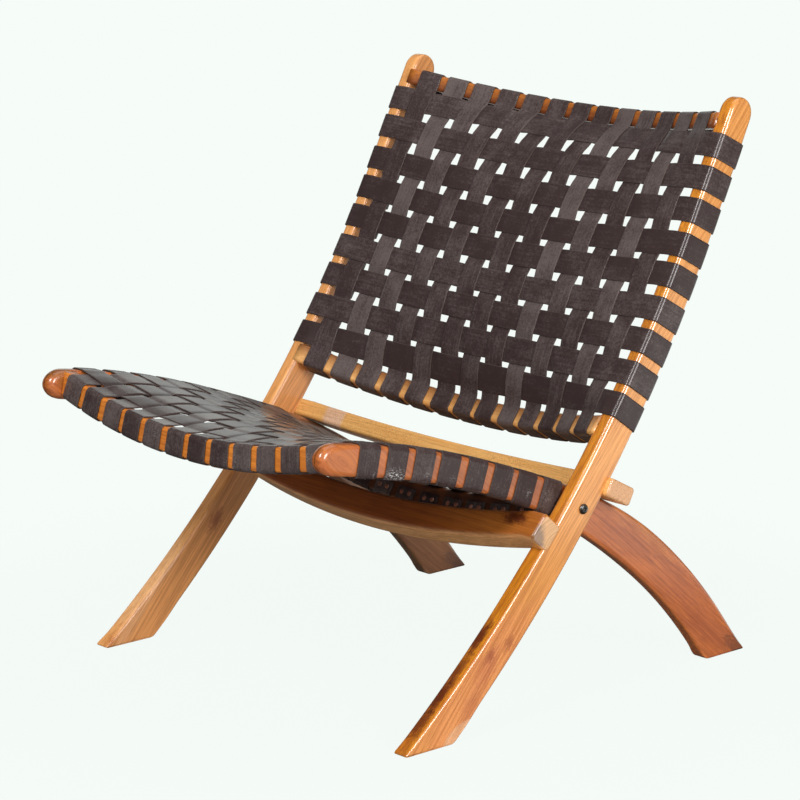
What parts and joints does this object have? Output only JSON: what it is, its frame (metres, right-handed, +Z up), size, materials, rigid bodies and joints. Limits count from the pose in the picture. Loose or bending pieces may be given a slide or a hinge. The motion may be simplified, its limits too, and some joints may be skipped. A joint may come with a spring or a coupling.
{
  "type": "folding lounge chair",
  "caption": "Low folding lounge chair: two crossed hardwood frames on pivot bolts, with bowed rails and a woven leather strap seat and back.",
  "frame": {"origin": "on the floor, midway between left and right and midway between the front and the rear of the chair", "axes": "+Z up, -Y to the front that the sitter faces, +X to the right of someone who looks at the front"},
  "size_m": [0.6086, 0.7224, 0.7256],
  "materials": {
    "back_frame_teak": "glossy varnish",
    "seat_frame_teak": "glossy varnish",
    "strap_leather": "satin",
    "bolt_steel": "satin"
  },
  "bodies": {
    "back_frame": {"stile_left": "back_frame_teak", "pivot_bolt_left": "bolt_steel", "pivot_washer_left": "bolt_steel", "pivot_nut_left": "bolt_steel", "stile_right": "back_frame_teak", "pivot_bolt_right": "bolt_steel", "pivot_washer_right": "bolt_steel", "pivot_nut_right": "bolt_steel", "back_bottom_rail": "back_frame_teak", "back_top_rail": "back_frame_teak", "front_support_rail": "back_frame_teak", "rear_stop_rail": "back_frame_teak", "back_row_01": "strap_leather", "back_row_02": "strap_leather", "back_row_03": "strap_leather", "back_row_04": "strap_leather", "back_row_05": "strap_leather", "back_row_06": "strap_leather", "back_row_07": "strap_leather", "back_row_08": "strap_leather", "back_row_09": "strap_leather", "back_column_01": "strap_leather", "back_column_02": "strap_leather", "back_column_03": "strap_leather", "back_column_04": "strap_leather", "back_column_05": "strap_leather", "back_column_06": "strap_leather", "back_column_07": "strap_leather", "back_column_08": "strap_leather", "back_column_09": "strap_leather", "back_column_10": "strap_leather", "back_column_11": "strap_leather", "back_column_12": "strap_leather", "back_column_13": "strap_leather"},
    "seat_frame": {"seat_rail_left": "seat_frame_teak", "seat_rail_right": "seat_frame_teak", "seat_front_rail": "seat_frame_teak", "seat_rear_rail": "seat_frame_teak", "seat_row_01": "strap_leather", "seat_row_02": "strap_leather", "seat_row_03": "strap_leather", "seat_row_04": "strap_leather", "seat_row_05": "strap_leather", "seat_row_06": "strap_leather", "seat_row_07": "strap_leather", "seat_row_08": "strap_leather", "seat_column_01": "strap_leather", "seat_column_02": "strap_leather", "seat_column_03": "strap_leather", "seat_column_04": "strap_leather", "seat_column_05": "strap_leather", "seat_column_06": "strap_leather", "seat_column_07": "strap_leather", "seat_column_08": "strap_leather", "seat_column_09": "strap_leather", "seat_column_10": "strap_leather", "seat_column_11": "strap_leather", "seat_column_12": "strap_leather"}
  },
  "joints": [
    {"name": "fold", "type": "hinge", "parent": "back_frame", "child": "seat_frame", "pos_m": [0, 0.03442, 0.25059], "axis": [-1, 0, 0], "range_deg": [0, 75.5]}
  ]
}
